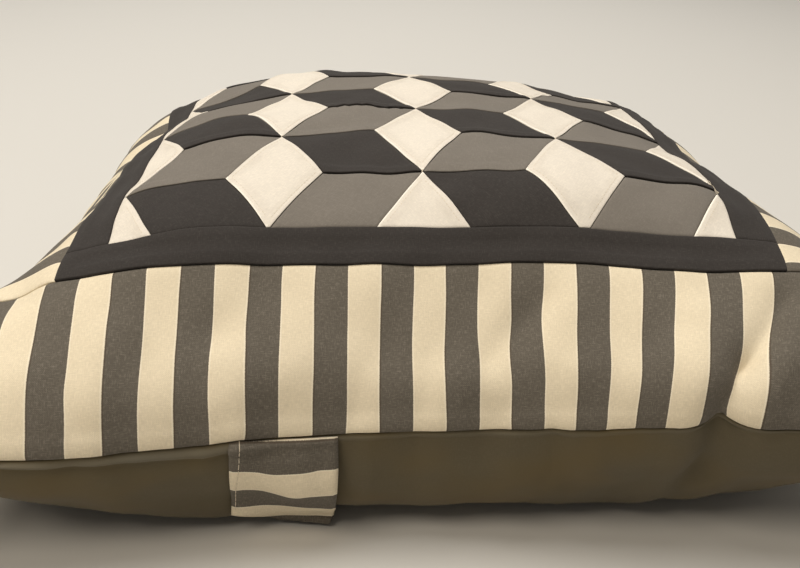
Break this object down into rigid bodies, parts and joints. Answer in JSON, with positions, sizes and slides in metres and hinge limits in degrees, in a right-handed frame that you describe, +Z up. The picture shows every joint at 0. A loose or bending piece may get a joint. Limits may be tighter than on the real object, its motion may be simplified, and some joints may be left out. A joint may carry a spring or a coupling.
{
  "type": "patchwork cushion cover",
  "caption": "Square stuffed patchwork cushion cover on its back, with a tumbling-blocks centre, a dark frame, striped borders and a striped tab.",
  "frame": {"origin": "on the surface it lies on, below the middle of the whole cushion", "axes": "+Z up out of the patchwork face, +Y from the near edge with the tab to the far edge, +X to the right seen from the near edge"},
  "size_m": [0.4834, 0.4762, 0.1669],
  "materials": {
    "back_cloth": "plain taupe weave, matt",
    "cream_cloth": "plain cream weave, matt",
    "grey_cloth": "plain warm grey weave, matt",
    "charcoal_cloth": "smooth charcoal weave, matt",
    "striped_cloth": "slubbed weave in cream and grey stripes, matt"
  },
  "bodies": {
    "root": {"filled_cushion": "back_cloth", "patchwork_panel": "grey_cloth", "frame_strip_near": "charcoal_cloth", "frame_strip_far": "charcoal_cloth", "frame_strip_left": "charcoal_cloth", "frame_strip_right": "charcoal_cloth", "border_near": "striped_cloth", "border_far": "striped_cloth", "border_left": "striped_cloth", "border_right": "striped_cloth", "striped_tab": "striped_cloth"}
  },
  "joints": []
}
